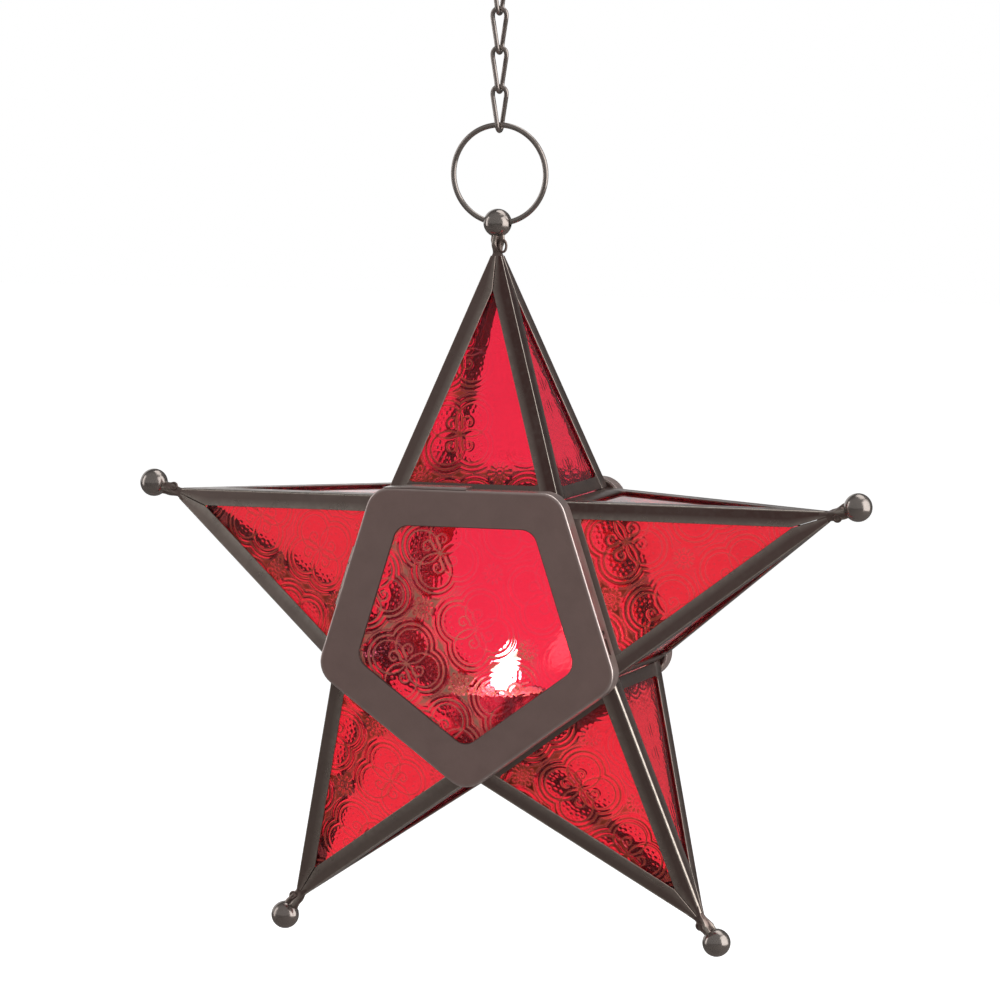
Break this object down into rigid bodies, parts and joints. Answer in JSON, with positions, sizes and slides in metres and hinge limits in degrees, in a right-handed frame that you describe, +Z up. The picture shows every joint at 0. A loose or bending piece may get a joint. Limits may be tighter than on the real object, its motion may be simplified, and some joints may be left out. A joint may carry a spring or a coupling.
{
  "type": "star hanging lantern",
  "caption": "Star-shaped hanging lantern of bronze-finished sheet with pressed red glass panes, a hinged pentagonal door and a candle shelf, on a ring, a chain of twisted links and a hook.",
  "frame": {"origin": "the point inside the hook's bend that bears on whatever holds the lantern up", "axes": "+Z up along the chain, -Y the side of the door, +X to the right when facing the door"},
  "size_m": [0.3008, 0.074, 0.4419],
  "materials": {
    "bronze": "antiqued dark bronze, satin, worn brighter on the folds",
    "cover_bronze": "antiqued bronze, satin, a little lighter than the spikes",
    "red_glass": "clear red glass, pressed with relief on its outer side",
    "tin": "thin bright metal cup",
    "paraffin": "white wax",
    "cotton": "charred braided cotton"
  },
  "bodies": {
    "hook": {"hook": "bronze"},
    "link_1": {"chain_link_1": "bronze"},
    "link_2": {"chain_link_2": "bronze"},
    "link_3": {"chain_link_3": "bronze"},
    "link_4": {"chain_link_4": "bronze"},
    "link_5": {"chain_link_5": "bronze"},
    "link_6": {"chain_link_6": "bronze"},
    "ring": {"hanging_ring": "bronze"},
    "star": {"spike_frame_top": "bronze", "spike_frame_right": "bronze", "spike_frame_lower_right": "bronze", "spike_frame_lower_left": "bronze", "spike_frame_left": "bronze", "tip_ball_top": "bronze", "tip_ball_right": "bronze", "tip_ball_lower_right": "bronze", "tip_ball_lower_left": "bronze", "tip_ball_left": "bronze", "glass_top_front": "red_glass", "glass_top_right": "red_glass", "glass_top_back": "red_glass", "glass_top_left": "red_glass", "glass_right_front": "red_glass", "glass_right_right": "red_glass", "glass_right_back": "red_glass", "glass_right_left": "red_glass", "glass_lower_right_front": "red_glass", "glass_lower_right_right": "red_glass", "glass_lower_right_back": "red_glass", "glass_lower_right_left": "red_glass", "glass_lower_left_front": "red_glass", "glass_lower_left_right": "red_glass", "glass_lower_left_back": "red_glass", "glass_lower_left_left": "red_glass", "glass_left_front": "red_glass", "glass_left_right": "red_glass", "glass_left_back": "red_glass", "glass_left_left": "red_glass", "front_collar": "bronze", "back_collar": "bronze", "back_cover": "cover_bronze", "back_glass": "red_glass", "hinge_star_leaf": "bronze", "hinge_pin": "bronze", "catch_tongue": "bronze", "candle_bracket": "bronze", "candle_cup": "bronze"},
    "door": {"door_frame": "cover_bronze", "door_glass": "red_glass", "hinge_door_leaf": "bronze"},
    "tealight": {"tealight_cup": "tin", "wax": "paraffin", "wick": "cotton"}
  },
  "joints": [
    {"name": "link_1_swing", "type": "hinge", "parent": "hook", "child": "link_1", "pos_m": [0, 0, -0.0332], "axis": [0, 1, 0], "range_deg": [-35, 35]},
    {"name": "link_2_swing", "type": "hinge", "parent": "link_1", "child": "link_2", "pos_m": [0, 0, -0.0458], "axis": [1, 0, 0], "range_deg": [-35, 35]},
    {"name": "link_3_swing", "type": "hinge", "parent": "link_2", "child": "link_3", "pos_m": [0, 0, -0.0629], "axis": [0, 1, 0], "range_deg": [-35, 35]},
    {"name": "link_4_swing", "type": "hinge", "parent": "link_3", "child": "link_4", "pos_m": [0, 0, -0.0758], "axis": [1, 0, 0], "range_deg": [-35, 35]},
    {"name": "link_5_swing", "type": "hinge", "parent": "link_4", "child": "link_5", "pos_m": [0, 0, -0.0929], "axis": [0, 1, 0], "range_deg": [-35, 35]},
    {"name": "link_6_swing", "type": "hinge", "parent": "link_5", "child": "link_6", "pos_m": [0, 0, -0.1058], "axis": [1, 0, 0], "range_deg": [-35, 35]},
    {"name": "ring_swing", "type": "hinge", "parent": "link_6", "child": "ring", "pos_m": [0, 0, -0.1229], "axis": [0, 1, 0], "range_deg": [-30, 30]},
    {"name": "star_swing", "type": "hinge", "parent": "ring", "child": "star", "pos_m": [-0.0008, 0, -0.15793], "axis": [0.9991, 0, -0.0424], "range_deg": [-38, 38]},
    {"name": "door_hinge", "type": "hinge", "parent": "star", "child": "door", "pos_m": [-0.05194, -0.0296, -0.29412], "axis": [-0.309, 0, -0.9511], "range_deg": [0, 110]},
    {"name": "tealight_lift", "type": "slide", "parent": "star", "child": "tealight", "axis": [0, 0, 1], "range_m": [0, 0.012]}
  ]
}
